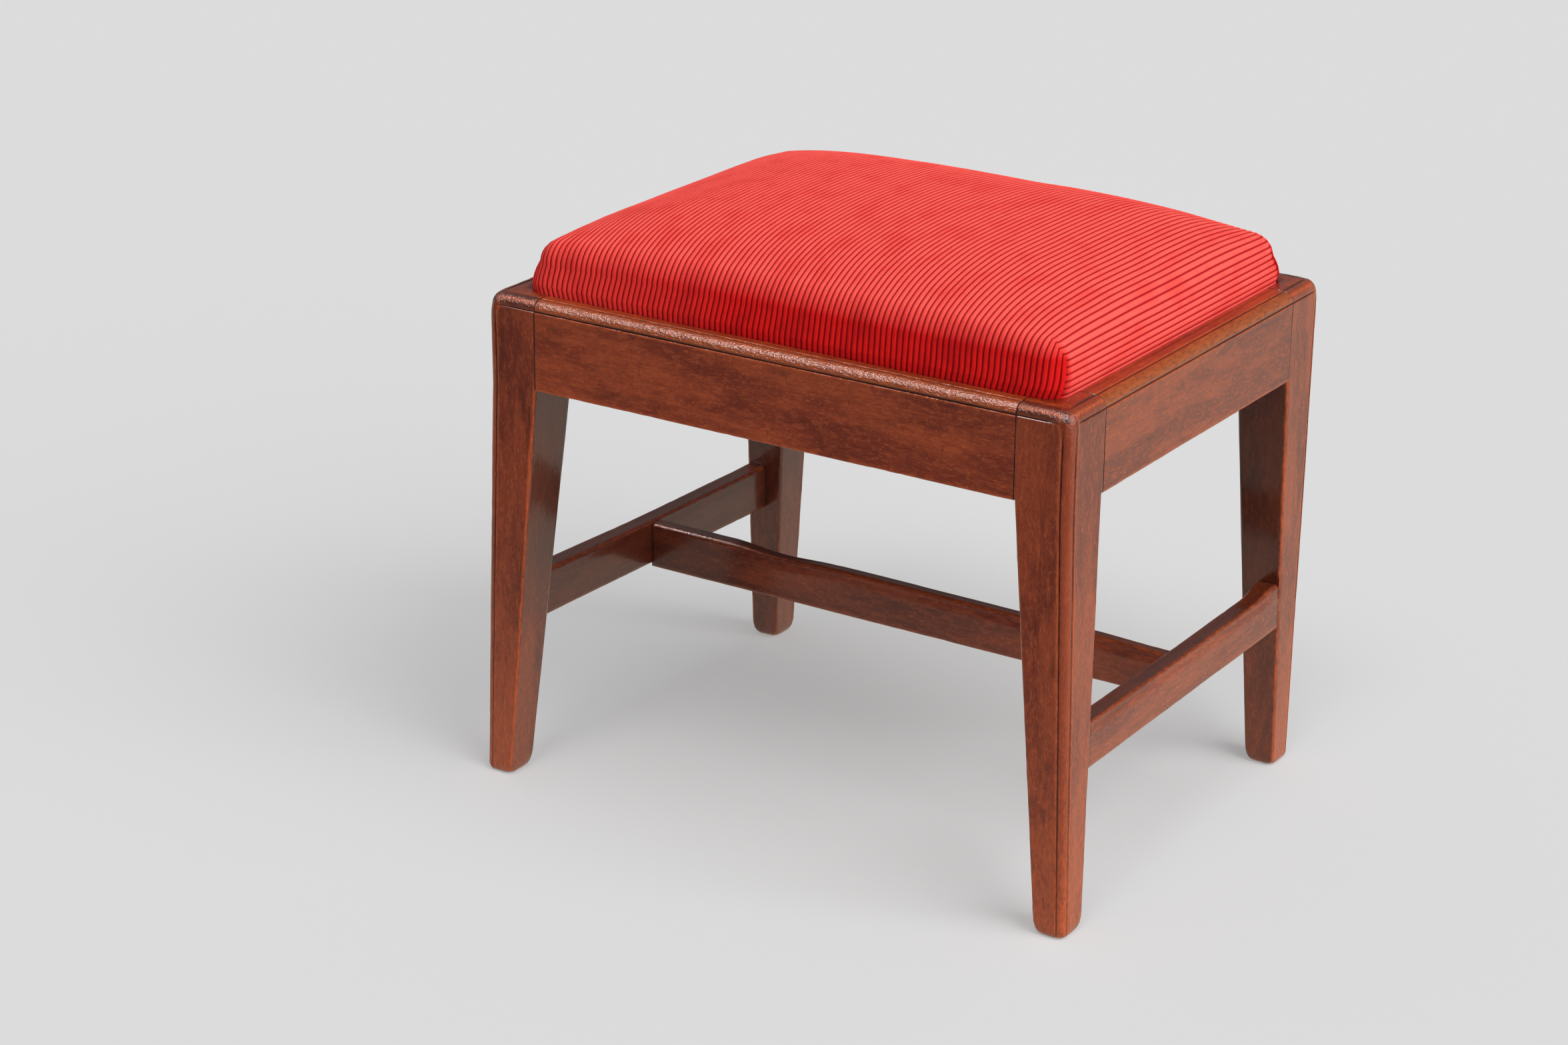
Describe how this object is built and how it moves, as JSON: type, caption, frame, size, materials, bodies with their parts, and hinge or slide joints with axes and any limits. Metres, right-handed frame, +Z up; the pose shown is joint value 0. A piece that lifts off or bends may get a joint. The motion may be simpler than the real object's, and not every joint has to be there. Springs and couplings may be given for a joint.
{
  "type": "stool",
  "caption": "Low rectangular mahogany stool on square tapered legs with beaded edges and an H stretcher, with a drop-in corduroy seat.",
  "frame": {"origin": "on the floor, in the middle of the stool's bounding box", "axes": "+X along the stool's length, +Y towards its back, +Z up"},
  "size_m": [0.3379, 0.254, 0.3025],
  "materials": {
    "mahogany": "French-polished mahogany, gloss, worn at the edges",
    "pine": "plain sawn pine, unpolished",
    "beech": "plain planed beech, unpolished",
    "webbing": "twilled jute webbing",
    "hessian": "plain open-weave jute",
    "horsehair": "curled horsehair with a cotton wadding skin",
    "corduroy": "cotton corduroy with wide wales, matt with a soft sheen",
    "blued_steel": "blued steel upholstery tacks"
  },
  "bodies": {
    "frame": {"leg_front_left": "mahogany", "leg_front_right": "mahogany", "leg_back_right": "mahogany", "leg_back_left": "mahogany", "rail_front": "mahogany", "rail_back": "mahogany", "rail_left": "mahogany", "rail_right": "mahogany", "stretcher_left": "mahogany", "stretcher_right": "mahogany", "stretcher_middle": "mahogany", "corner_block_front_left": "pine", "corner_block_front_right": "pine", "corner_block_back_right": "pine", "corner_block_back_left": "pine"},
    "drop_in_seat": {"seat_frame_front": "beech", "seat_frame_back": "beech", "seat_frame_left": "beech", "seat_frame_right": "beech", "webbing_long_front": "webbing", "webbing_long_back": "webbing", "webbing_cross_left": "webbing", "webbing_cross_middle": "webbing", "webbing_cross_right": "webbing", "base_hessian": "hessian", "hair_stuffing": "horsehair", "corduroy_cover": "corduroy", "cover_tack_01": "blued_steel", "cover_tack_02": "blued_steel", "cover_tack_03": "blued_steel", "cover_tack_04": "blued_steel", "cover_tack_05": "blued_steel", "cover_tack_06": "blued_steel", "cover_tack_07": "blued_steel", "cover_tack_08": "blued_steel", "cover_tack_09": "blued_steel", "cover_tack_10": "blued_steel", "cover_tack_11": "blued_steel", "cover_tack_12": "blued_steel", "cover_tack_13": "blued_steel", "cover_tack_14": "blued_steel", "cover_tack_15": "blued_steel", "cover_tack_16": "blued_steel", "cover_tack_17": "blued_steel", "cover_tack_18": "blued_steel", "cover_tack_19": "blued_steel", "cover_tack_20": "blued_steel", "webbing_tack_01": "blued_steel", "webbing_tack_02": "blued_steel", "webbing_tack_03": "blued_steel", "webbing_tack_04": "blued_steel", "webbing_tack_05": "blued_steel", "webbing_tack_06": "blued_steel", "webbing_tack_07": "blued_steel", "webbing_tack_08": "blued_steel", "webbing_tack_09": "blued_steel", "webbing_tack_10": "blued_steel"}
  },
  "joints": [
    {"name": "seat_lift", "type": "slide", "parent": "frame", "child": "drop_in_seat", "axis": [0, 0, 1], "range_m": [0, 0.1]}
  ]
}
